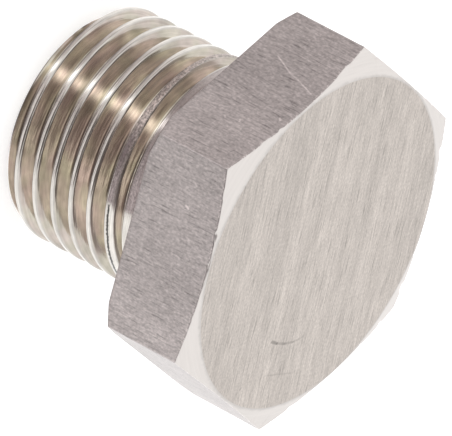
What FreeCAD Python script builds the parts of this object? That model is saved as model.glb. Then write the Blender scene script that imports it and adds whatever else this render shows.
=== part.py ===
import FreeCAD, Part
import os
import Sketcher

# Hex head pipe plug, turned in one piece from drawn hexagon bar.
# The axis is Z. The origin is the centre of the seat under the head: the head is above it, the thread below.
# Lengths are in millimetres and angles in degrees.

NODE = "pipe_plug"

# Name, value and meaning of each driving dimension.
SIZES = [
    ("across_flats", 14.0, "spanner size of the hexagon bar"),
    ("head_height", 3.95, "seat to outer face"),
    ("face_margin", 0.07, "how far the round edge of the outer face stays inside the flats"),
    ("face_chamfer_angle", 16.5, "fall of the turned chamfer around the outer face"),
    ("seat_corner_cut", 0.43, "how far the seat's round edge stays inside the corners"),
    ("seat_chamfer_angle", 30.0, "rise of the chamfer on the corners around the seat"),
    ("thread_diameter", 9.728, "major diameter, G 1/8"),
    ("thread_pitch", 0.907, "28 threads to the inch"),
    ("thread_angle", 55.0, "angle between the flanks"),
    ("crest_width", 0.2, "land on top of the thread"),
    ("root_width", 0.1, "flat at the bottom of the groove"),
    ("shank_length", 8.0, "seat to free end"),
    ("end_chamfer", 0.52, "45 degree chamfer on the free end"),
    ("thread_gap", 1.54, "seat to where the groove has faded out"),
    ("run_out_turns", 0.6, "part of a turn over which the end of the groove gets shallow"),
    ("thread_end_turn", 66.0, "direction, from +X, in which the full thread ends and the run-out starts"),
]

# Formulas that more than one feature uses.
CORNER_RADIUS = "(Sizes.across_flats / 2 / cos(30 deg))"
FACE_RADIUS = "(Sizes.across_flats / 2 - Sizes.face_margin)"
SEAT_RADIUS = "(%s - Sizes.seat_corner_cut)" % CORNER_RADIUS
THREAD_RADIUS = "(Sizes.thread_diameter / 2)"
HALF_FLANK_TAN = "tan(Sizes.thread_angle * 1 deg / 2)"
THREAD_DEPTH = "((Sizes.thread_pitch - Sizes.crest_width - Sizes.root_width) / 2 / %s)" % HALF_FLANK_TAN
# In the run-out the groove draws back from the flank away from the head, so its pitch is larger there.
RUN_OUT_PITCH = "(Sizes.thread_pitch + %s * %s / Sizes.run_out_turns)" % (THREAD_DEPTH, HALF_FLANK_TAN)
RUN_OUT_LENGTH = "(Sizes.run_out_turns * %s)" % RUN_OUT_PITCH
FULL_THREAD_END = "(Sizes.thread_gap + %s)" % RUN_OUT_LENGTH
FULL_TURNS = "(ceil((Sizes.shank_length - %s) / Sizes.thread_pitch) + 1)" % FULL_THREAD_END
# Room by which a cutting outline reaches past the surface that it cuts.
OVERCUT = "(Sizes.thread_pitch / 6)"
CHAMFER_REACH = "(%s / 4)" % CORNER_RADIUS
RUN_OUT_REACH = "(%s / 10)" % RUN_OUT_LENGTH


def origin_plane(body, role):
    for item in body.Origin.OriginFeatures:
        if item.Role == role:
            return item
    raise RuntimeError("no origin plane " + role)


def new_sketch(body, name, role):
    """A sketch on one of the body's own origin planes."""
    sketch = body.newObject("Sketcher::SketchObject", name)
    sketch.AttachmentSupport = [(origin_plane(body, role), "")]
    sketch.MapMode = "FlatFace"
    return sketch


def add_outline(sketch, points):
    """Straight lines through the points and back to the first, with their ends joined."""
    count = len(points)
    for index in range(count):
        start = FreeCAD.Vector(*points[index], 0)
        end = FreeCAD.Vector(*points[(index + 1) % count], 0)
        sketch.addGeometry(Part.LineSegment(start, end), False)
    for index in range(count):
        sketch.addConstraint(Sketcher.Constraint("Coincident", index, 2, (index + 1) % count, 1))


def place_corner(sketch, index, across, up):
    """Holds the start of line number index at two formulas, across and up from the sketch's origin."""
    for kind, axis, formula in (("DistanceX", "across", across), ("DistanceY", "up", up)):
        name = "%s_%d" % (axis, index)
        number = sketch.addConstraint(Sketcher.Constraint(kind, -1, 1, index, 1, 1.0))
        sketch.renameConstraint(number, name)
        sketch.setExpression("Constraints." + name, formula)


def add_profile(sketch, corners):
    """A closed outline whose corners are pairs of formulas."""
    start = [(2 + index % 2, 1 + index) for index in range(len(corners))]
    add_outline(sketch, start)
    for index, (across, up) in enumerate(corners):
        place_corner(sketch, index, across, up)


def add_head(body):
    """The hexagon, with two corners on the X axis."""
    sketch = new_sketch(body, "hexagon", "XY_Plane")
    directions = [(1, 0), (0.5, 0.9), (-0.5, 0.9), (-1, 0), (-0.5, -0.9), (0.5, -0.9)]
    add_outline(sketch, [(8 * across, 8 * up) for across, up in directions])
    circle = Part.Circle(FreeCAD.Vector(0, 0, 0), FreeCAD.Vector(0, 0, 1), 8)
    corners = sketch.addGeometry(circle, True)
    sketch.addConstraint(Sketcher.Constraint("Coincident", corners, 3, -1, 1))
    for index in range(6):
        sketch.addConstraint(Sketcher.Constraint("PointOnObject", index, 1, corners))
    for index in range(1, 6):
        sketch.addConstraint(Sketcher.Constraint("Equal", 0, index))
    sketch.addConstraint(Sketcher.Constraint("PointOnObject", 0, 1, -1))
    number = sketch.addConstraint(Sketcher.Constraint("Radius", corners, 8.0))
    sketch.renameConstraint(number, "corner_radius")
    sketch.setExpression("Constraints.corner_radius", CORNER_RADIUS)
    head = body.newObject("PartDesign::Pad", "head")
    head.Profile = sketch
    head.setExpression("Length", "Sizes.head_height")


def add_turned(body, kind, name, corners):
    """A profile in the XZ plane turned about Z, as solid or as a cut."""
    sketch = new_sketch(body, name + "_outline", "XZ_Plane")
    add_profile(sketch, corners)
    feature = body.newObject("PartDesign::" + kind, name)
    feature.Profile = sketch
    feature.ReferenceAxis = (sketch, ["V_Axis"])
    feature.Angle = 360


def add_shank(body):
    """The blank of the thread, with its chamfered end."""
    add_turned(body, "Revolution", "shank", [
        ("0", "0"),
        (THREAD_RADIUS, "0"),
        (THREAD_RADIUS, "-(Sizes.shank_length - Sizes.end_chamfer)"),
        (THREAD_RADIUS + " - Sizes.end_chamfer", "-Sizes.shank_length"),
        ("0", "-Sizes.shank_length"),
    ])


def cut_face_chamfer(body):
    """The wide, shallow chamfer that rounds the outer face and curves down at each corner."""
    outside = "%s + %s" % (FACE_RADIUS, CHAMFER_REACH)
    fall = "%s * tan(Sizes.face_chamfer_angle * 1 deg)" % CHAMFER_REACH
    add_turned(body, "Groove", "face_chamfer", [
        (FACE_RADIUS, "Sizes.head_height"),
        (outside, "Sizes.head_height"),
        (outside, "Sizes.head_height - " + fall),
    ])


def cut_seat_chamfer(body):
    """The chamfer on the corners at the thread's side."""
    outside = "%s + %s" % (SEAT_RADIUS, CHAMFER_REACH)
    rise = "%s * tan(Sizes.seat_chamfer_angle * 1 deg)" % CHAMFER_REACH
    add_turned(body, "Groove", "seat_chamfer", [
        (SEAT_RADIUS, "0"),
        (outside, "0"),
        (outside, rise),
    ])


def groove_profile(body, name, level):
    """The section of the thread's groove, its middle at a level below the seat, where the full thread ends."""
    sketch = new_sketch(body, name, "XZ_Plane")
    sketch.AttachmentOffset = FreeCAD.Placement(
        FreeCAD.Vector(0, 0, 0), FreeCAD.Rotation(FreeCAD.Vector(0, 1, 0), 1))
    sketch.setExpression("AttachmentOffset.Rotation.Angle", "Sizes.thread_end_turn")
    bottom = "%s - %s" % (THREAD_RADIUS, THREAD_DEPTH)
    outside = "%s + %s" % (THREAD_RADIUS, OVERCUT)
    narrow = "(Sizes.root_width / 2)"
    wide = "(%s + (%s + %s) * %s)" % (narrow, THREAD_DEPTH, OVERCUT, HALF_FLANK_TAN)
    add_profile(sketch, [
        (bottom, "-(%s) - %s" % (level, narrow)),
        (outside, "-(%s) - %s" % (level, wide)),
        (outside, "-(%s) + %s" % (level, wide)),
        (bottom, "-(%s) + %s" % (level, narrow)),
    ])
    return sketch


def cut_helix(body, name, sketch, pitch, length, angle):
    """A right-hand groove that climbs towards the head, and leaves the axis at the given angle."""
    helix = body.newObject("PartDesign::SubtractiveHelix", name)
    helix.Profile = sketch
    helix.ReferenceAxis = (sketch, ["V_Axis"])
    helix.Mode = 0
    helix.setExpression("Pitch", pitch)
    helix.setExpression("Height", length)
    helix.setExpression("Angle", angle)


def cut_thread(body):
    """The full thread, from past the free end up to where the groove starts to get shallow."""
    climb = "%s * Sizes.thread_pitch" % FULL_TURNS
    sketch = groove_profile(body, "thread_outline", "%s + %s" % (FULL_THREAD_END, climb))
    cut_helix(body, "thread", sketch, "Sizes.thread_pitch", climb, "0")


def cut_run_out(body):
    """The end of the groove, which rises out of the shank before it reaches the seat."""
    sketch = groove_profile(body, "run_out_outline", FULL_THREAD_END)
    length = "%s + %s" % (RUN_OUT_LENGTH, RUN_OUT_REACH)
    angle = "atan(%s / %s)" % (THREAD_DEPTH, RUN_OUT_LENGTH)
    cut_helix(body, "run_out", sketch, RUN_OUT_PITCH, length, angle)


def make_sheet(doc):
    """The driving dimensions, one named cell each."""
    sheet = doc.addObject("Spreadsheet::Sheet", "Sizes")
    for row, (name, value, meaning) in enumerate(SIZES, start=1):
        sheet.set("A%d" % row, name)
        sheet.set("B%d" % row, str(value))
        sheet.set("C%d" % row, meaning)
        sheet.setAlias("B%d" % row, name)
    doc.recompute()


def make_plug(doc):
    body = doc.addObject("PartDesign::Body", NODE)
    body.Label = NODE
    add_head(body)
    add_shank(body)
    cut_face_chamfer(body)
    cut_seat_chamfer(body)
    cut_thread(body)
    cut_run_out(body)
    body.Placement = FreeCAD.Placement()
    doc.recompute()
    return body


def check(doc, body):
    """Stops unless every object is sound, every cut removed metal and the plug is one valid solid."""
    for item in doc.Objects:
        if "Invalid" in item.State or "Error" in item.State:
            raise RuntimeError("failed object: " + item.Label)
    features = [item for item in body.Group if item.isDerivedFrom("PartDesign::Feature")]
    for before, after in zip(features, features[1:]):
        gain = after.Shape.Volume - before.Shape.Volume
        adds = after.TypeId == "PartDesign::Revolution"
        if (gain > 0) != adds:
            raise RuntimeError("feature without effect: " + after.Label)
    shape = body.Shape
    if shape.isNull() or not shape.isValid() or len(shape.Solids) != 1:
        raise RuntimeError("the plug isn't one valid solid")
    print("volume", round(shape.Volume, 2), "faces", len(shape.Faces))


def main():
    doc = FreeCAD.newDocument("hex_head_pipe_plug")
    make_sheet(doc)
    plug = make_plug(doc)
    check(doc, plug)
    os.makedirs("parts", exist_ok=True)
    plug.Shape.exportStep(os.path.join("parts", plug.Label + ".step"))


main()
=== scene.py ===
import math

import bmesh
import bpy
import numpy as np
from mathutils import Matrix, Vector


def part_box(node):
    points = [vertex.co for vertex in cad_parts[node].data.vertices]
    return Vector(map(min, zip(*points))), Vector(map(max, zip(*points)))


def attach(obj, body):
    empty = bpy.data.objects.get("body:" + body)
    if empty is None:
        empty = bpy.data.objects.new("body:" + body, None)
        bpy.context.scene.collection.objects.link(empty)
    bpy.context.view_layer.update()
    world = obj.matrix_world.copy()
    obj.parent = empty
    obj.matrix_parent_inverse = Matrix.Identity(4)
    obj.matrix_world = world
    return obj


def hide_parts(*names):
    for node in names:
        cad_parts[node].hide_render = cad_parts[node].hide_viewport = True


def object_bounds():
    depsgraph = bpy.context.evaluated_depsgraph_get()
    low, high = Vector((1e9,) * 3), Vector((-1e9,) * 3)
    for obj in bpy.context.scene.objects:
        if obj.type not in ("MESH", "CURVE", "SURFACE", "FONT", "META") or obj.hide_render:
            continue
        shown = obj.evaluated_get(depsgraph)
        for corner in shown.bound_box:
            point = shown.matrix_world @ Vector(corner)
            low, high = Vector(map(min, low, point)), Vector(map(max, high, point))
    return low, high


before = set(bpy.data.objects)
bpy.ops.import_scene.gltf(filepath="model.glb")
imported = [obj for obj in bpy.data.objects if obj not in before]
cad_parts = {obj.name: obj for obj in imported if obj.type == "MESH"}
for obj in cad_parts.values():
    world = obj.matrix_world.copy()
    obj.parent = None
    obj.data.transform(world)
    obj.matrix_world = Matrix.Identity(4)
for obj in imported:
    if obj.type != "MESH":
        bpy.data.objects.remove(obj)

# Hex head pipe plug, turned from drawn stainless bar. Lengths in this script are in millimetres, but for the
# floor's. The axis is Z, the seat under the head is at z = 0, and the thread's free end stands on the floor.

NODE = "pipe_plug"
MM = 0.001
FULL_TURN = 2 * math.pi
SIXTH = math.radians(60)

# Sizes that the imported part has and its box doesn't show.
FACE_MARGIN = 0.07
FACE_CHAMFER = math.radians(16.5)
SEAT_CORNER_CUT = 0.43
SEAT_CHAMFER = math.radians(30.0)
THREAD_PITCH = 0.907
HALF_FLANK_TAN = math.tan(math.radians(55.0 / 2))
CREST_WIDTH = 0.2
ROOT_WIDTH = 0.1
END_CHAMFER = 0.52
THREAD_GAP = 1.54
RUN_OUT_TURNS = 0.6
THREAD_END_TURN = math.radians(66.0)
THREAD_DEPTH = (THREAD_PITCH - CREST_WIDTH - ROOT_WIDTH) / 2 / HALF_FLANK_TAN
RUN_OUT_SHIFT = THREAD_DEPTH * HALF_FLANK_TAN
FULL_THREAD_END = THREAD_GAP + RUN_OUT_TURNS * THREAD_PITCH + RUN_OUT_SHIFT

# Softness of the edges.
CORNER_ROUND = 0.05
FACE_EDGE_SOFT = 0.06
EDGE_SOFT = 0.035
SEAT_EDGE_SOFT = 0.03
CREST_SOFT = 0.08
ROOT_SOFT = 0.06
SHARP_ANGLE = math.radians(32)

# Wear: how deep the edge between chamfer and flats is nibbled all along and in single nicks, and how far the
# torn line on the last land is from the middle of the full land.
RAGGED_DEPTH = 0.01
NICK_DEPTH = 0.11
CRACK_PLACE = 0.09

# How deep below the crests the thread's colour starts to change to the groove's, and where it has changed.
GROOVE_COLOUR_DEPTHS = (0.01, 0.08)

# Where the chamfer's grey rim next to the face ends: distances from the axis.
CHAMFER_RIM = (6.98, 7.14)

# How finely the mesh is divided, how far the thread's rows reach past the thread, how near points are joined,
# and how short an edge vanishes.
HEAD_COLUMNS = 720
SHANK_COLUMNS = 300
THREAD_ROWS_OVERLAP = 0.24
JOIN_DISTANCE = 0.00002
VANISHED_LENGTH = 0.00001

# The finish coordinates across the thread are stretched by this much, so that its fine lines look finer.
THREAD_FINISH_STRETCH = 1.6

# The photograph's camera.
PICTURE_SIZE = (452, 436)
SEAT_CENTRE_PIXEL = (239.74, 201.29)
FOCAL_PIXELS = 12000.0
CAMERA_AZIMUTH = math.radians(125.81)
CAMERA_ELEVATION = math.radians(30.43)
CAMERA_ROLL = math.radians(118.06)
CAMERA_DISTANCE = 458.36

# Direction of the grinding lines on the outer face, from +X.
GRINDING_TURN = math.radians(63.5)

# Marks on the outer face, as points along and across +X: start, end, width, strength.
FACE_MARKS = [
    ((-3.14, -2.74), (-2.9, -3.02), 0.1, 0.4),
    ((-2.9, -3.02), (-2.5, -3.37), 0.08, 0.26),
    ((-2.5, -3.37), (-2.0, -3.68), 0.075, 0.24),
    ((-2.0, -3.68), (-1.45, -3.87), 0.07, 0.14),
    ((-3.73, -4.10), (-2.37, -5.07), 0.05, 0.14),
    ((-5.16, -3.67), (-5.10, -3.62), 0.06, 0.25),
]

# Marks on the flats, as level above the seat and place across the flat: flat number, start, end, width and
# strength.
FLAT_MARKS = [
    (1, (1.21, -1.76), (2.18, -1.31), 0.045, 0.45),
    (1, (2.18, -1.31), (2.68, -1.19), 0.04, 0.25),
    (1, (2.68, -1.19), (3.57, -0.89), 0.045, 0.45),
    (1, (3.45, 0.80), (3.52, 0.86), 0.07, 0.5),
    (1, (1.62, 1.87), (1.70, 1.93), 0.06, 0.35),
    (1, (2.25, 1.70), (2.30, 1.78), 0.05, 0.35),
    (2, (2.38, -2.90), (2.48, -2.84), 0.06, 0.4),
    (2, (2.24, -1.93), (2.36, -1.86), 0.07, 0.5),
]

# The flats lie this far apart in the finish coordinates, so that each has its own marks.
FLAT_SPACING = 20.0

# The white floor, in metres, with its colour and its own light as the camera sees it.
FLOOR_HALF = 3.0
FLOOR_GREY = 0.86
FLOOR_GLOW = 0.6

# The studio's dim parts and its opening, by turn from the camera's side in degrees. A part comes in from the
# first to the second turn and fades from the third to the fourth.
DIM_TURNS = (-108.0, -80.0, 57.0, 61.0)
LOW_DIM_TURNS = (-108.0, -80.0, 62.0, 68.0)
LESS_DIM_TURNS = (-20.0, 5.0, 50.0, 61.0)
BEHIND_CAMERA_TURNS = (-20.0, -5.0, 50.0, 61.0)
OPENING_TURN = -30.0

# Heights in the studio, as sines of the elevation, between which one part gives way to the next.
LOWEST_TOP = (-0.78, -0.7)
LOW_TOP = (-0.58, -0.53)
OPENING_LOW_TOP = (-0.58, -0.52)
MIDDLE_TOP = (-0.46, -0.4)
BRIGHT_TOP = (-0.25, -0.05)
DIM_TOP = (0.1, 0.3)
BEHIND_CAMERA_TOP = (0.8, 0.9)

# The studio's even light, low down and above, and its colours: even, and in the dim part.
EVEN_LIGHT = (1.3, 1.0)
WHITE = (1.0, 1.0, 1.0)
WARM = (1.0, 0.87, 0.86)

# Target ranges of a share that fades in and of one that fades out.
RISING = (0.0, 1.0)
FALLING = (1.0, 0.0)


def list_box():
    """The shown object's box as plain numbers."""
    return [[float(value) for value in corner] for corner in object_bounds()]


def measure_part():
    """The part's main sizes in millimetres, read from the frame."""
    low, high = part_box(NODE)
    shank_end = low.z / MM
    points = [vertex.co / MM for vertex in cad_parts[NODE].data.vertices]
    shank = [math.hypot(point.x, point.y) for point in points if point.z < shank_end / 2]
    half_flats = high.y / MM
    return {
        "half_flats": half_flats,
        "corner_radius": half_flats / math.cos(SIXTH / 2),
        "head_top": high.z / MM,
        "shank_end": shank_end,
        "thread_radius": max(shank),
    }


def smooth_larger(first, second, soft):
    """The larger value, with the change from one to the other rounded over the given softness."""
    near = np.clip(soft - np.abs(first - second), 0, None) / soft
    return np.maximum(first, second) + near * near * soft / 4


def smooth_smaller(first, second, soft):
    return -smooth_larger(-first, -second, soft)


def ease(value, start, end):
    """Rises smoothly from 0 at the start to 1 at the end."""
    share = np.clip((value - start) / (end - start), 0, 1)
    return share * share * (3 - 2 * share)


def ring_noise(count, step, seed):
    """Repeatable values from -1 to 1 round a circle, which change over about the given number of columns."""
    knots = max(4, int(count / step))
    values = np.random.default_rng(seed).uniform(-1, 1, knots)
    place = np.arange(count) / count * knots
    before = place.astype(int)
    share = ease(place - before, 0, 1)
    return values[before % knots] * (1 - share) + values[(before + 1) % knots] * share


def hexagon_radius(angles, size):
    """Distance from the axis to the side of the hexagon, whose corners are a little rounded."""
    off = np.abs((angles + SIXTH / 2) % SIXTH - SIXTH / 2)
    flat = size["half_flats"] / np.cos(SIXTH / 2 - off)
    centre = (size["half_flats"] - CORNER_ROUND) / math.cos(SIXTH / 2)
    reach = CORNER_ROUND * math.sin(SIXTH / 2)
    touch = math.atan2(reach, centre + CORNER_ROUND * math.cos(SIXTH / 2))
    inside = np.clip(CORNER_ROUND ** 2 - (centre * np.sin(off)) ** 2, 0, None)
    return np.where(off < touch, centre * np.cos(off) + np.sqrt(inside), flat)


def head_angles():
    """Directions of the head's columns, closer together at the hexagon's corners."""
    per_side = HEAD_COLUMNS // 6
    place = (np.arange(per_side) + 0.5) / per_side * 2 - 1
    off = np.sign(place) * (0.35 * np.abs(place) + 0.65 * np.abs(place) ** 1.6) * SIXTH / 2
    return np.concatenate([off + side * SIXTH for side in range(6)])


class Surface:
    """Collects points and faces, with finish coordinates, material numbers and marks for wear, cracks,
    grooves and painted dark reflection.
    """

    def __init__(self):
        self.points = []
        self.count = 0
        self.faces = []
        self.finish = []
        self.materials = []
        self.marks = {"wear": [], "crack": [], "groove": [], "dark": []}

    def add_points(self, points, **marks):
        """Adds points with their marks, which are 0 where not given. Returns the points' numbers."""
        points = np.asarray(points, float).reshape(-1, 3)
        self.points.append(points)
        for name, values in self.marks.items():
            values.append(np.zeros(len(points)) + marks.get(name, 0.0))
        numbers = np.arange(self.count, self.count + len(points))
        self.count += len(points)
        return numbers

    def add_faces(self, corners, finish, material):
        """Faces as columns of point numbers, and the finish coordinates of each column."""
        self.faces += np.stack(corners, axis=1).tolist()
        self.finish.append(np.stack(finish, axis=1).reshape(-1, 2))
        self.materials += [material] * len(corners[0])

    def add_strip(self, lower, upper, lower_finish, upper_finish, material):
        """Quads between two rows of points. Each row's finish has its values for the left and right ends."""
        corners = (lower[:-1], lower[1:], upper[1:], upper[:-1])
        finish = (lower_finish[0], lower_finish[1], upper_finish[1], upper_finish[0])
        self.add_faces(corners, finish, material)

    def to_mesh(self, mesh_name):
        """The collected points and faces as a mesh in metres."""
        mesh = bpy.data.meshes.new(mesh_name)
        mesh.from_pydata((np.concatenate(self.points) * MM).tolist(), [], self.faces)
        mesh.polygons.foreach_set("material_index", self.materials)
        layer = mesh.uv_layers.new(name="finish")
        layer.data.foreach_set("uv", np.concatenate(self.finish).ravel())
        for name, values in self.marks.items():
            attribute = mesh.attributes.new(name, "FLOAT", "POINT")
            attribute.data.foreach_set("value", np.concatenate(values))
        return mesh


def close_row(values):
    """The row with its first value once more at its end."""
    return np.append(values, values[0])


def round_ring(radius, level, angles):
    """Points round the axis."""
    return np.stack([radius * np.cos(angles), radius * np.sin(angles), level + 0 * angles], axis=1)


# The materials' numbers, in the order in which the plug gets them.
FACE, CHAMFER, FLATS, SEAT, THREAD, END = range(6)


def place_finish(material, angles, sides, radius, level, size):
    """Finish coordinates, in millimetres: along and across the marks that the tools left."""
    if material == FACE:
        from_lines = angles - GRINDING_TURN
        return np.stack([radius * np.cos(from_lines), radius * np.sin(from_lines)], axis=1)
    if material == FLATS:
        sideways = radius * np.sin(angles - (sides + 0.5) * SIXTH)
        return np.stack([level, sideways + FLAT_SPACING * sides], axis=1)
    return np.stack([angles * size["half_flats"], radius], axis=1)


def row_finish(material, angles, radius, level, size):
    """Finish coordinates of a closed row, for the left and the right end of each face."""
    sides = np.floor((angles[:-1] + angles[1:]) / 2 / SIXTH)
    ends = []
    for part in (slice(None, -1), slice(1, None)):
        ends.append(place_finish(material, angles[part], sides, radius[part], level[part], size))
    return ends


def burr_depth(count):
    """How far the edge between chamfer and flats is worn down in each column."""
    ragged = RAGGED_DEPTH * (1 + ring_noise(count, 3.3, 11)) * (0.4 + 0.6 * np.abs(ring_noise(count, 14, 12)))
    nicks = NICK_DEPTH * np.clip(ring_noise(count, 4.1, 13) - 0.45, 0, None)
    return ragged + nicks


def head_rows(angles, size):
    """The head's rings from the outer face round to the seat, each with the material of the strip after it.

    A ring is its radius, level, wear and material. Rings at shares of an edge's softness round that edge.
    """
    half, top = size["half_flats"], size["head_top"]
    side = hexagon_radius(angles, size)
    face = half - FACE_MARGIN
    seat = size["corner_radius"] - SEAT_CORNER_CUT
    fall = math.tan(FACE_CHAMFER)
    rise = math.tan(SEAT_CHAMFER)
    burr = burr_depth(len(angles))
    rows = [(face * share, top, 0, FACE) for share in (0.12, 0.35, 0.6, 0.8, 0.93, 0.985)]
    rows.append((face - FACE_EDGE_SOFT / 2, top, 0, CHAMFER))
    rows.append((face, top - FACE_EDGE_SOFT * fall / 8, 0, CHAMFER))
    start = face + FACE_EDGE_SOFT / 2
    for share in (0.0, 0.25, 0.5, 0.75, 0.93, 1.0):
        radius = start + (side - EDGE_SOFT - start) * share
        level = top - (radius - face) * fall - burr * share ** 3
        rows.append((radius, level, share ** 6 * 0.5, CHAMFER))
    edge = top - (side - face) * fall - burr
    rows.append((side - EDGE_SOFT * 0.35, edge - EDGE_SOFT * 0.2, 1, CHAMFER))
    rows.append((side - EDGE_SOFT * 0.06, edge - EDGE_SOFT * 0.6, 1, FLATS))
    seat_edge = np.clip(side - seat, 0, None) * rise
    upper = edge - EDGE_SOFT * 1.3
    lower = seat_edge + SEAT_EDGE_SOFT * 1.3
    for share in (0.0, 0.02, 0.08, 0.2, 0.35, 0.5, 0.65, 0.8, 0.92, 0.98, 1.0):
        wear = 0.5 if share == 0 else 0
        rows.append((side, upper + (lower - upper) * share, wear, FLATS))
    rows.append((side - SEAT_EDGE_SOFT * 0.12, seat_edge + SEAT_EDGE_SOFT * 0.5, 0, SEAT))
    rows.append((side - SEAT_EDGE_SOFT * 0.5, seat_edge + SEAT_EDGE_SOFT * 0.12, 0, SEAT))
    chamfered = np.clip(side - SEAT_EDGE_SOFT - seat, 0, None)
    rows.append((side - SEAT_EDGE_SOFT, chamfered * rise, 0, SEAT))
    for share in (2, 4):
        rows.append((np.minimum(side, seat + SEAT_EDGE_SOFT) - share * SEAT_EDGE_SOFT, 0, 0, SEAT))
    for share in (0.6, 0.3, 0.08):
        rows.append((size["thread_radius"] + (half - size["thread_radius"]) * share, 0, 0, SEAT))
    full = 0 * angles
    return [(radius + full, level + full, wear, material) for radius, level, wear, material in rows]


def add_head(surface, size):
    """The head as rings from the middle of the face to the seat's inner edge. Returns that edge."""
    angles = head_angles()
    turned = np.append(angles, angles[0] + FULL_TURN)
    rows = head_rows(angles, size)
    rings = [close_row(surface.add_points(round_ring(*row[:2], angles), wear=row[2])) for row in rows]
    middle = np.repeat(surface.add_points([(0, 0, size["head_top"])]), len(angles))
    left, right = row_finish(FACE, turned, close_row(rows[0][0]), close_row(rows[0][1]), size)
    surface.add_faces((middle, rings[0][:-1], rings[0][1:]), (0 * left, left, right), FACE)
    for above, below, above_ring, below_ring in zip(rows, rows[1:], rings, rings[1:]):
        material = above[3]
        above_finish = row_finish(material, turned, close_row(above[0]), close_row(above[1]), size)
        below_finish = row_finish(material, turned, close_row(below[0]), close_row(below[1]), size)
        surface.add_strip(below_ring, above_ring, below_finish, above_finish, material)
    return turned, rings[-1]


def groove_course(turns):
    """Where the groove runs, by turns past the end of the full thread: its even course, middle and depth."""
    even = THREAD_PITCH * turns - FULL_THREAD_END
    share = np.clip(turns / RUN_OUT_TURNS, 0, 1)
    return even, even + RUN_OUT_SHIFT * share, THREAD_DEPTH * (1 - share)


def turns_past(angles, turn):
    """Turns past the end of the full thread, at these angles on this turn of the groove."""
    return (angles - THREAD_END_TURN) / FULL_TURN + turn


def groove_rows(even, middle, depth):
    """Mesh rows from the land below the groove to the land above it: level, shares in tears, painted dark
    reflection, crack.
    """
    wall = ROOT_WIDTH / 2 + depth * HALF_FLANK_TAN
    edge = ((1.14, 1, 0.3), (1.07, 0.9, 0.1), (1.0, 0.6, 0), (0.93, 0.2, 0))
    inside = [(share, 0, 0) for share in (0.86, 0.55, 0.29, 0.21, 0.14, 0.06)]
    shares = [*edge, *inside]
    below = [(middle - wall * share, torn, reflection_painted, 0) for share, torn, reflection_painted in shares]
    above = [(middle + wall * share, torn, reflection_painted, 0) for share, torn, reflection_painted in shares[::-1]]
    low_land = even - THREAD_PITCH / 2
    high_land = even + THREAD_PITCH / 2
    room = below[0][0] - low_land
    crack_line = low_land + np.minimum(CRACK_PLACE, room * 0.3)
    # The third value of each row is its share of painted dark reflection.
    start = [(low_land, 1, 1, 0), (crack_line, 1, 1, 1), (low_land + room * 0.5, 1, 1, 0)]
    return [*start, *below, (middle, 0, 0, 0), *above, (high_land * 0.6 + above[-1][0] * 0.4, 1, 0.8, 0)]


def shank_radius(level, middle, depth, size):
    """The shank's surface at a level: the groove, and the chamfer on the free end."""
    offset = np.clip(np.abs(level - middle), 0, THREAD_PITCH / 2)
    bottom = size["thread_radius"] - depth
    flank = bottom + (offset - ROOT_WIDTH / 2) / HALF_FLANK_TAN
    groove = smooth_larger(bottom + 0 * flank, flank, ROOT_SOFT)
    turned = smooth_smaller(groove, size["thread_radius"] + 0 * groove, CREST_SOFT)
    return np.minimum(turned, size["thread_radius"] - END_CHAMFER + level - size["shank_end"])


def torn_land(turns):
    """Where the last land is torn, by turns past the end of the full thread: from a little before it."""
    return ease(turns, -0.2, -0.02) * (1 - ease(turns, 0.16, 0.24))


def painted_reflection_on_land(turns):
    """How much painted dark reflection the last land and the neck get, on the side towards the camera: most
    in a short stretch, and less on the neck.
    """
    place = (turns + 0.5) % 1
    before_end = 1 - ease(place, 0.744, 0.752)
    stretch = ease(place, 0.61, 0.67) * before_end * ease(turns, 0.1, 0.18)
    neck = ease(place, 0.2, 0.35) * before_end * ease(turns, 0.6, 0.8) * 0.75
    return np.maximum(stretch, neck)


def cracked_land(turns):
    """Where a torn line runs along the last land."""
    return ease(turns, 0.24, 0.26) * (1 - ease(turns, 0.7, 0.8))


def add_shank(surface, size):
    """The thread as rows that follow the groove, cut off level at both ends. Returns bottom and top level."""
    columns = np.linspace(0, FULL_TURN, SHANK_COLUMNS + 1)
    bottom, top = size["shank_end"], -THREAD_GAP + THREAD_ROWS_OVERLAP
    first = int(math.floor((bottom + FULL_THREAD_END) / THREAD_PITCH)) - 2
    last = int(math.ceil((top + FULL_THREAD_END) / THREAD_PITCH)) + 2
    rows = []
    for turn in range(first, last + 1):
        turns = turns_past(columns, turn)
        even, middle, depth = groove_course(turns)
        for level, torn, reflection_painted, cracked in groove_rows(even, middle, depth):
            unrolled = (columns + FULL_TURN * turn) * size["thread_radius"]
            across = (level + THREAD_PITCH * turn) * THREAD_FINISH_STRETCH
            finish = np.stack([unrolled, across], axis=1)
            land_turns = turns + (level > middle)
            level = np.clip(level, bottom, top)
            radius = shank_radius(level, middle, depth, size)
            # The dark mark is painted dark reflection on the camera's side of the last land and the neck.
            points = surface.add_points(
                round_ring(radius, level, columns),
                wear=torn_land(land_turns) * torn,
                crack=cracked_land(land_turns) * cracked,
                groove=ease(size["thread_radius"] - radius, *GROOVE_COLOUR_DEPTHS),
                dark=painted_reflection_on_land(land_turns) * reflection_painted,
            )
            rows.append((points, (finish[:-1], finish[1:])))
    for (lower, lower_finish), (upper, upper_finish) in zip(rows, rows[1:]):
        surface.add_strip(lower, upper, lower_finish, upper_finish, THREAD)
    return bottom, top


def radius_at(angles, level, size):
    """The shank's surface at one level all round, whichever turn of the groove is nearest."""
    turn = np.round((level + FULL_THREAD_END) / THREAD_PITCH - turns_past(angles, 0))
    middle, depth = groove_course(turns_past(angles, turn))[1:]
    return shank_radius(level + 0 * angles, middle, depth, size)


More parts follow.
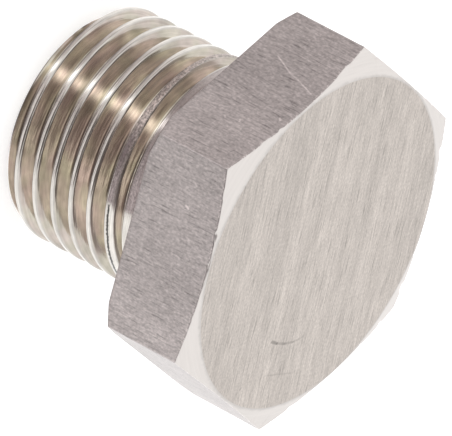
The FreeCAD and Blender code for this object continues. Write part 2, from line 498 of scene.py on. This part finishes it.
def add_neck(surface, top, size):
    """The plain neck between the thread and the seat. Returns its ring at the seat."""
    turned = np.linspace(0, FULL_TURN, SHANK_COLUMNS + 1)
    angles = turned[:-1]
    rows = []
    for level in (top, top * 0.66, top * 0.33, 0.0):
        # The dark mark is painted dark reflection on the camera's side of the neck.
        ring = surface.add_points(round_ring(radius_at(angles, level, size), level, angles),
                                  dark=painted_reflection_on_land(turns_past(angles, 1)))
        finish = np.stack([turned * size["thread_radius"], level + 0 * turned], axis=1)
        rows.append((close_row(ring), (finish[:-1], finish[1:])))
    for (lower, lower_finish), (upper, upper_finish) in zip(rows, rows[1:]):
        surface.add_strip(lower, upper, lower_finish, upper_finish, THREAD)
    return turned, rows[-1][0]


def add_end(surface, bottom, size):
    """The flat free end, as rings down to a middle point."""
    turned = np.linspace(0, FULL_TURN, SHANK_COLUMNS + 1)
    angles = turned[:-1]
    outer = radius_at(angles, bottom, size)
    rows = []
    for share in (1.0, 0.97, 0.8, 0.5, 0.15):
        ring = surface.add_points(round_ring(outer * share, bottom, angles))
        finish = np.stack([turned * size["thread_radius"], close_row(outer * share)], axis=1)
        rows.append((close_row(ring), (finish[:-1], finish[1:])))
    for (around, around_finish), (inside, inside_finish) in zip(rows, rows[1:]):
        surface.add_strip(inside, around, inside_finish, around_finish, END)
    ring, (left, right) = rows[-1]
    middle = np.repeat(surface.add_points([(0, 0, bottom)]), SHANK_COLUMNS)
    surface.add_faces((middle, ring[1:], ring[:-1]), (0 * left, right, left), END)


def join_seat(surface, head_ring, head_turns, neck_ring, neck_turns):
    """Flat triangles from the seat's inner ring of the head to the neck, which has fewer columns."""
    outer, inner = 0, 0
    outer_end, inner_end = len(head_ring) - 1, len(neck_ring) - 1
    corners = []
    while outer < outer_end or inner < inner_end:
        from_inner, from_outer = neck_ring[inner], head_ring[outer]
        if inner == inner_end or (outer < outer_end and head_turns[outer + 1] <= neck_turns[inner + 1]):
            outer += 1
            corners.append((from_inner, head_ring[outer], from_outer))
        else:
            inner += 1
            corners.append((from_inner, neck_ring[inner], from_outer))
    corners = np.array(corners).T
    surface.add_faces(corners, np.zeros((3, corners.shape[1], 2)), SEAT)


def close_seams(mesh):
    """Joins points that lie together and drops the faces that vanish with them."""
    edit = bmesh.new()
    edit.from_mesh(mesh)
    bmesh.ops.remove_doubles(edit, verts=edit.verts, dist=JOIN_DISTANCE * MM)
    bmesh.ops.dissolve_degenerate(edit, edges=edit.edges, dist=VANISHED_LENGTH * MM)
    bmesh.ops.recalc_face_normals(edit, faces=edit.faces)
    edit.to_mesh(mesh)
    edit.free()


def make_plug(materials):
    """The whole plug as one closed mesh."""
    size = measure_part()
    surface = Surface()
    head_turns, head_ring = add_head(surface, size)
    bottom, top = add_shank(surface, size)
    neck_turns, neck_ring = add_neck(surface, top, size)
    add_end(surface, bottom, size)
    join_seat(surface, head_ring, head_turns, neck_ring, neck_turns)
    mesh = surface.to_mesh("plug")
    close_seams(mesh)
    plug = bpy.data.objects.new("plug", mesh)
    bpy.context.scene.collection.objects.link(plug)
    for material in materials:
        mesh.materials.append(material)
    mesh.polygons.foreach_set("use_smooth", [True] * len(mesh.polygons))
    mesh.set_sharp_from_angle(angle=SHARP_ANGLE)
    return plug


def add_node(tree, kind, inputs=None, **settings):
    """One shader node. Inputs are values or other nodes' outputs."""
    made = tree.nodes.new("ShaderNode" + kind)
    for name, value in settings.items():
        setattr(made, name, value)
    for key, value in (inputs or {}).items():
        if isinstance(value, bpy.types.NodeSocket):
            tree.links.new(value, made.inputs[key])
        else:
            made.inputs[key].default_value = value
    return made


def calculate(tree, operation, first, second=0.0):
    """The result of a Math node."""
    return add_node(tree, "Math", {0: first, 1: second}, operation=operation).outputs[0]


def multiply(tree, first, second):
    return calculate(tree, "MULTIPLY", first, second)


def add(tree, first, second):
    return calculate(tree, "ADD", first, second)


def rescale(tree, value, source, target):
    """Maps a value smoothly from the source range to the target range and holds it at the ends."""
    ends = {"From Min": source[0], "From Max": source[1], "To Min": target[0], "To Max": target[1]}
    return add_node(tree, "MapRange", {"Value": value, **ends}, interpolation_type="SMOOTHSTEP").outputs[0]


def noise(tree, place, along, across, detail, seed):
    """Noise around 0.5, stretched along the tool's marks: cycles per millimetre along and across."""
    shift = (seed, seed * 1.7, seed)
    mapping = add_node(tree, "Mapping", {"Vector": place, "Scale": (along, across, 1.0), "Location": shift})
    inputs = {"Vector": mapping.outputs[0], "Scale": 1.0, "Detail": detail, "Roughness": 0.6}
    return add_node(tree, "TexNoise", inputs).outputs["Fac"]


def vary(tree, value, amount):
    """A factor of 1, plus or minus what the noise gives times the amount."""
    return add(tree, multiply(tree, calculate(tree, "SUBTRACT", value, 0.5), amount), 1.0)


def product(tree, factors):
    """All the factors multiplied."""
    total = factors[0]
    for factor in factors[1:]:
        total = multiply(tree, total, factor)
    return total


def near_line(tree, place, start, end, width):
    """1 on the line from start to end, and 0 beyond the width."""
    start, end = Vector((*start, 0)), Vector((*end, 0))
    along = end - start
    from_start = add_node(tree, "VectorMath", {0: place, 1: start}, operation="SUBTRACT").outputs[0]
    reach = add_node(tree, "VectorMath", {0: from_start, 1: along / along.length_squared},
                     operation="DOT_PRODUCT").outputs["Value"]
    reach = add_node(tree, "Clamp", {"Value": reach}).outputs[0]
    foot = add_node(tree, "VectorMath", {0: along, "Scale": reach}, operation="SCALE").outputs[0]
    gap = add_node(tree, "VectorMath", {0: from_start, 1: foot}, operation="DISTANCE").outputs["Value"]
    return rescale(tree, gap, (width * 0.3, width), FALLING)


def steel(name, colour, roughness):
    """A metal material with the finish coordinates ready. Returns material, tree, shader and coordinates."""
    material = bpy.data.materials.new(name)
    material.use_nodes = True
    tree = material.node_tree
    shader = tree.nodes["Principled BSDF"]
    shader.inputs["Metallic"].default_value = 1.0
    shader.inputs["Roughness"].default_value = roughness
    shader.inputs["Base Color"].default_value = (*colour, 1.0)
    place = add_node(tree, "UVMap", uv_map="finish").outputs[0]
    return material, tree, shader, place


def scale(tree, colour, factor):
    """A colour times a number."""
    return add_node(tree, "VectorMath", {0: colour, "Scale": factor}, operation="SCALE").outputs[0]


def mix(tree, share, first, second):
    """A colour between the first, at share 0, and the second, at share 1."""
    return add_node(tree, "Mix", {0: share, 4: first, 5: second}, data_type="VECTOR").outputs[1]


def tint(tree, shader, colour, factor):
    """The base colour times a factor worked out by nodes."""
    tree.links.new(scale(tree, colour, factor), shader.inputs["Base Color"])


def bump(tree, shader, height, strength, distance):
    """Fine relief in the shading: the distance is that between heights 0 and 1."""
    made = add_node(tree, "Bump", {"Height": height, "Strength": strength, "Distance": distance * MM})
    tree.links.new(made.outputs[0], shader.inputs["Normal"])


def read_mark(tree, name):
    """One of the surface's marks, from 0 to 1."""
    return add_node(tree, "Attribute", attribute_name=name).outputs["Fac"]


def face_material():
    """The outer face: straight grinding lines, light and dark, with a few scratches across them."""
    colour = (0.611, 0.557, 0.515)
    material, tree, shader, place = steel("ground_face", colour, roughness=0.36)
    fine = noise(tree, place, along=0.9, across=17.0, detail=3.0, seed=3.1)
    dashes = noise(tree, place, along=0.8, across=13.0, detail=1.0, seed=5.9)
    dashes = rescale(tree, dashes, (0.58, 0.74), (1.0, 0.72))
    broad = noise(tree, place, along=0.1, across=1.3, detail=4.0, seed=7.3)
    grain = noise(tree, place, along=9.0, across=12.0, detail=1.0, seed=9.9)
    factors = [vary(tree, fine, 0.8), dashes, vary(tree, broad, 0.5), vary(tree, grain, 0.5)]
    along_lines = Matrix.Rotation(-GRINDING_TURN, 2)
    for start, end, width, strength in FACE_MARKS:
        near = near_line(tree, place, along_lines @ Vector(start), along_lines @ Vector(end), width)
        factors.append(calculate(tree, "SUBTRACT", 1.0, multiply(tree, near, strength)))
    tint(tree, shader, colour, product(tree, factors))
    bump(tree, shader, fine, strength=0.35, distance=0.01)
    return material


def chamfer_material():
    """The turned chamfer: bright, with fine rings, greyer where it meets the face."""
    colour = (0.81, 0.765, 0.735)
    material, tree, shader, place = steel("turned_chamfer", colour, roughness=0.3)
    fine = noise(tree, place, along=0.5, across=9.0, detail=3.0, seed=1.9)
    radius = add_node(tree, "SeparateXYZ", {0: place}).outputs[1]
    waves = noise(tree, place, along=4.0, across=4.0, detail=2.0, seed=9.2)
    wavy = add(tree, radius, multiply(tree, waves, 0.16))
    blend = rescale(tree, wavy, CHAMFER_RIM, (0.8, 1.0))
    tint(tree, shader, colour, product(tree, [vary(tree, fine, 0.16), blend]))
    bump(tree, shader, fine, strength=0.2, distance=0.005)
    return material


def flats_material():
    """The drawn flats: grey, with dark streaks along the bar, a grained look and some bright scratches."""
    colour = (0.53, 0.49, 0.48)
    material, tree, shader, place = steel("drawn_flats", colour, roughness=0.36)
    fine = noise(tree, place, along=3.0, across=16.0, detail=3.0, seed=5.5)
    streaks = noise(tree, place, along=1.0, across=11.0, detail=3.0, seed=8.1)
    streaks = rescale(tree, streaks, (0.55, 0.72), (1.0, 0.6))
    mottled = noise(tree, place, along=8.0, across=10.0, detail=3.0, seed=2.2)
    broad = noise(tree, place, along=0.3, across=0.5, detail=1.0, seed=4.7)
    sideways = add(tree, add_node(tree, "SeparateXYZ", {0: place}).outputs[1], FLAT_SPACING / 2)
    from_edge = calculate(tree, "MODULO", sideways, FLAT_SPACING)
    from_middle = calculate(tree, "SUBTRACT", from_edge, FLAT_SPACING / 2)
    lighter = rescale(tree, from_middle, (0.5, 3.5), (1.0, 1.1))
    factors = [vary(tree, fine, 1.0), streaks, vary(tree, mottled, 1.0), vary(tree, broad, 0.35), lighter]
    factor = product(tree, factors)
    specks = noise(tree, place, along=11.0, across=11.0, detail=1.0, seed=1.4)
    bright = multiply(tree, rescale(tree, specks, (0.54, 0.64), (0.0, 1.2)), read_mark(tree, "wear"))
    for flat, start, end, width, strength in FLAT_MARKS:
        shifted = [(level, across + FLAT_SPACING * flat) for level, across in (start, end)]
        near = near_line(tree, place, *shifted, width)
        bright = add(tree, bright, multiply(tree, near, strength))
    tint(tree, shader, colour, add(tree, factor, bright))
    bump(tree, shader, fine, strength=0.35, distance=0.01)
    return material


def seat_material():
    """The seat under the head: greyer, with fine turned rings."""
    colour = (0.55, 0.51, 0.49)
    material, tree, shader, place = steel("turned_seat", colour, roughness=0.35)
    fine = noise(tree, place, along=0.3, across=9.0, detail=3.0, seed=4.4)
    tint(tree, shader, colour, vary(tree, fine, 0.3))
    return material


def thread_material():
    """The cut thread: bright with fine lines, browner in the groove, rough where the last land is torn, with
    painted dark reflection on the camera's side of the last land and the neck.
    """
    colour = (0.645, 0.613, 0.572)
    roughness = 0.12
    olive_colour = (0.58, 0.54, 0.455)
    rosy_colour = (0.6, 0.525, 0.475)
    # Painted dark reflection: the colour that the last land and the neck take where the dark mark is.
    torn_colour = (0.47, 0.405, 0.375)
    painted_reflection_colour = (0.29, 0.245, 0.24)
    material, tree, shader, place = steel("cut_thread", colour, roughness)
    wear = read_mark(tree, "wear")
    groove = read_mark(tree, "groove")
    fine = noise(tree, place, along=0.25, across=12.0, detail=3.0, seed=8.8)
    blotches = noise(tree, place, along=0.9, across=2.0, detail=2.0, seed=3.6)
    hues = noise(tree, place, along=0.7, across=1.5, detail=1.0, seed=6.3)
    hues = rescale(tree, hues, (0.35, 0.65), RISING)
    torn = noise(tree, place, along=12.0, across=9.0, detail=2.0, seed=2.7)
    blended = mix(tree, groove, colour, mix(tree, hues, olive_colour, rosy_colour))
    even = multiply(tree, vary(tree, fine, 0.7), vary(tree, blotches, 0.8))
    plain = scale(tree, blended, even)
    mottled = scale(tree, torn_colour, rescale(tree, torn, (0.35, 0.68), (0.5, 1.5)))
    jagged = multiply(tree, calculate(tree, "SUBTRACT", torn, 0.5), 1.5)
    crack_edge = add(tree, read_mark(tree, "crack"), jagged)
    crack = rescale(tree, crack_edge, (0.32, 0.6), (1.0, 0.12))
    # Painted dark reflection, mixed in where the dark mark is.
    dark_reflection_paint = scale(tree, painted_reflection_colour, vary(tree, torn, 1.5))
    reflection_painted = mix(tree, read_mark(tree, "dark"), mix(tree, wear, plain, mottled), dark_reflection_paint)
    surface = scale(tree, reflection_painted, crack)
    tree.links.new(surface, shader.inputs["Base Color"])
    tree.links.new(add(tree, multiply(tree, wear, 0.3), roughness), shader.inputs["Roughness"])
    rough = add(tree, multiply(tree, fine, 0.1), multiply(tree, multiply(tree, torn, wear), 0.3))
    bump(tree, shader, rough, strength=0.8, distance=0.05)
    return material


def end_material():
    """The faced free end, with fine turned rings."""
    colour = (0.6, 0.56, 0.53)
    material, tree, shader, place = steel("faced_end", colour, roughness=0.3)
    fine = noise(tree, place, along=0.3, across=9.0, detail=3.0, seed=6.6)
    tint(tree, shader, colour, vary(tree, fine, 0.3))
    return material


def camera_directions():
    """Unit directions of the camera: right and up in the picture, and back towards the camera."""
    flat = math.cos(CAMERA_ELEVATION)
    height = math.sin(CAMERA_ELEVATION)
    back = Vector((flat * math.cos(CAMERA_AZIMUTH), flat * math.sin(CAMERA_AZIMUTH), height))
    level_right = Vector((0, 0, 1)).cross(back).normalized()
    level_up = back.cross(level_right)
    right = math.cos(CAMERA_ROLL) * level_right + math.sin(CAMERA_ROLL) * level_up
    up = math.cos(CAMERA_ROLL) * level_up - math.sin(CAMERA_ROLL) * level_right
    return right, up, back


def make_camera():
    """The photograph's view: far away, rolled, and aimed so that the seat's centre is at its pixel."""
    right, up, back = camera_directions()
    per_pixel = CAMERA_DISTANCE / FOCAL_PIXELS
    aside = (SEAT_CENTRE_PIXEL[0] - PICTURE_SIZE[0] / 2) * per_pixel
    below = (SEAT_CENTRE_PIXEL[1] - PICTURE_SIZE[1] / 2) * per_pixel
    place = (back * CAMERA_DISTANCE - right * aside + up * below) * MM
    data = bpy.data.cameras.new("camera")
    data.sensor_width = 36.0
    data.lens = data.sensor_width * FOCAL_PIXELS / PICTURE_SIZE[0]
    data.clip_start = 0.01
    data.clip_end = 100.0
    camera = bpy.data.objects.new("camera", data)
    turn = Matrix((right, up, back)).transposed()
    camera.matrix_world = Matrix.Translation(place) @ turn.to_4x4()
    bpy.context.scene.collection.objects.link(camera)
    bpy.context.scene.camera = camera


def make_floor(level):
    """A plain white floor at the level on which the plug stands. Reflections pass it and show the studio."""
    half = FLOOR_HALF
    mesh = bpy.data.meshes.new("floor")
    corners = [(-half, -half, level), (half, -half, level), (half, half, level), (-half, half, level)]
    mesh.from_pydata(corners, [], [(0, 1, 2, 3)])
    floor = bpy.data.objects.new("floor", mesh)
    bpy.context.scene.collection.objects.link(floor)
    material = bpy.data.materials.new("white_floor")
    material.use_nodes = True
    tree = material.node_tree
    shader = tree.nodes["Principled BSDF"]
    shader.inputs["Base Color"].default_value = (FLOOR_GREY, FLOOR_GREY, FLOOR_GREY, 1.0)
    shader.inputs["Roughness"].default_value = 0.9
    path = add_node(tree, "LightPath")
    seen = calculate(tree, "MAXIMUM", path.outputs["Is Camera Ray"], path.outputs["Is Transmission Ray"])
    tree.links.new(multiply(tree, seen, FLOOR_GLOW), shader.inputs["Emission Strength"])
    shader.inputs["Emission Color"].default_value = (1, 1, 1, 1)
    mesh.materials.append(material)
    floor.visible_glossy = False


def turn_from_camera(tree, direction):
    """Degrees of a direction's turn about the axis, from the side on which the camera stands."""
    towards = (math.cos(CAMERA_AZIMUTH), math.sin(CAMERA_AZIMUTH), 0.0)
    sideways = (-math.sin(CAMERA_AZIMUTH), math.cos(CAMERA_AZIMUTH), 0.0)
    parts = [add_node(tree, "VectorMath", {0: direction, 1: unit}, operation="DOT_PRODUCT").outputs["Value"]
             for unit in (sideways, towards)]
    return multiply(tree, calculate(tree, "ARCTAN2", *parts), math.degrees(1.0))


def hump(tree, value, middle, width):
    """A bell curve: 1 at the middle, falling off over the width."""
    share = multiply(tree, calculate(tree, "SUBTRACT", value, middle), 1.0 / width)
    return calculate(tree, "POWER", math.e, multiply(tree, multiply(tree, share, share), -1.0))


def between(tree, share, first, second):
    """A number between the first, at share 0, and the second, at share 1."""
    return add_node(tree, "Mix", {0: share, 2: first, 3: second}, data_type="FLOAT").outputs[0]


def window(tree, value, first, second, third, fourth):
    """1 from the second to the third value, easing to 0 at the first and the fourth."""
    rise = rescale(tree, value, (first, second), RISING)
    return multiply(tree, rise, rescale(tree, value, (third, fourth), FALLING))


def studio_dimming(tree, turn, height):
    """How much darker the studio is on the camera's side, from the nadir up in four bands of height."""
    side = window(tree, turn, *DIM_TURNS)
    behind_camera = window(tree, turn, *BEHIND_CAMERA_TURNS)
    upper = add(tree, multiply(tree, side, 0.6), multiply(tree, behind_camera, 0.25))
    middle = add(tree, multiply(tree, hump(tree, turn, -25.0, 55.0), 0.8), multiply(tree, side, 0.06))
    middle = add(tree, middle, multiply(tree, window(tree, turn, *LESS_DIM_TURNS), -0.5))
    lower = multiply(tree, window(tree, turn, *LOW_DIM_TURNS), 0.9)
    dim = between(tree, rescale(tree, height, LOW_TOP, RISING), lower, middle)
    dim = between(tree, rescale(tree, height, MIDDLE_TOP, RISING), dim, upper)
    dim = between(tree, rescale(tree, height, LOWEST_TOP, RISING), 1.1, dim)
    high_reach = multiply(tree, behind_camera, rescale(tree, height, BEHIND_CAMERA_TOP, FALLING))
    reach = calculate(tree, "MAXIMUM", rescale(tree, height, DIM_TOP, FALLING), high_reach)
    return multiply(tree, dim, reach)


def studio_opening(tree, turn, height):
    """The light of a narrow opening in the dim part, brightest low down, with a soft rim above that."""
    narrow = hump(tree, turn, OPENING_TURN, 6.0)
    narrow = multiply(tree, narrow, rescale(tree, height, OPENING_LOW_TOP, (2.9, 1.1)))
    soft = hump(tree, turn, OPENING_TURN, 22.0)
    soft = multiply(tree, soft, rescale(tree, height, OPENING_LOW_TOP, (0.0, 0.45)))
    return multiply(tree, add(tree, narrow, soft), rescale(tree, height, DIM_TOP, FALLING))


def make_world():
    """A white studio, a little brighter low down, with a dim and warmer part on the camera's side."""
    world = bpy.data.worlds.new("studio")
    world.use_nodes = True
    tree = world.node_tree
    direction = add_node(tree, "TexCoord").outputs["Generated"]
    turn = turn_from_camera(tree, direction)
    height = add_node(tree, "SeparateXYZ", {0: direction}).outputs[2]
    dimming = studio_dimming(tree, turn, height)
    opening = studio_opening(tree, turn, height)
    even = rescale(tree, height, BRIGHT_TOP, EVEN_LIGHT)
    net_dimming = calculate(tree, "SUBTRACT", dimming, opening)
    strength = calculate(tree, "SUBTRACT", even, net_dimming)
    tinted = add_node(tree, "Clamp", {"Value": net_dimming}).outputs[0]
    background = tree.nodes["Background"]
    tree.links.new(mix(tree, tinted, WHITE, WARM), background.inputs["Color"])
    tree.links.new(strength, background.inputs["Strength"])
    bpy.context.scene.world = world


before = list_box()
make_camera()
bpy.context.scene.view_settings.view_transform = "Standard"
plug = make_plug([
    face_material(),
    chamfer_material(),
    flats_material(),
    seat_material(),
    thread_material(),
    end_material(),
])
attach(plug, "root")
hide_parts(NODE)
make_floor(before[0][2])
make_world()
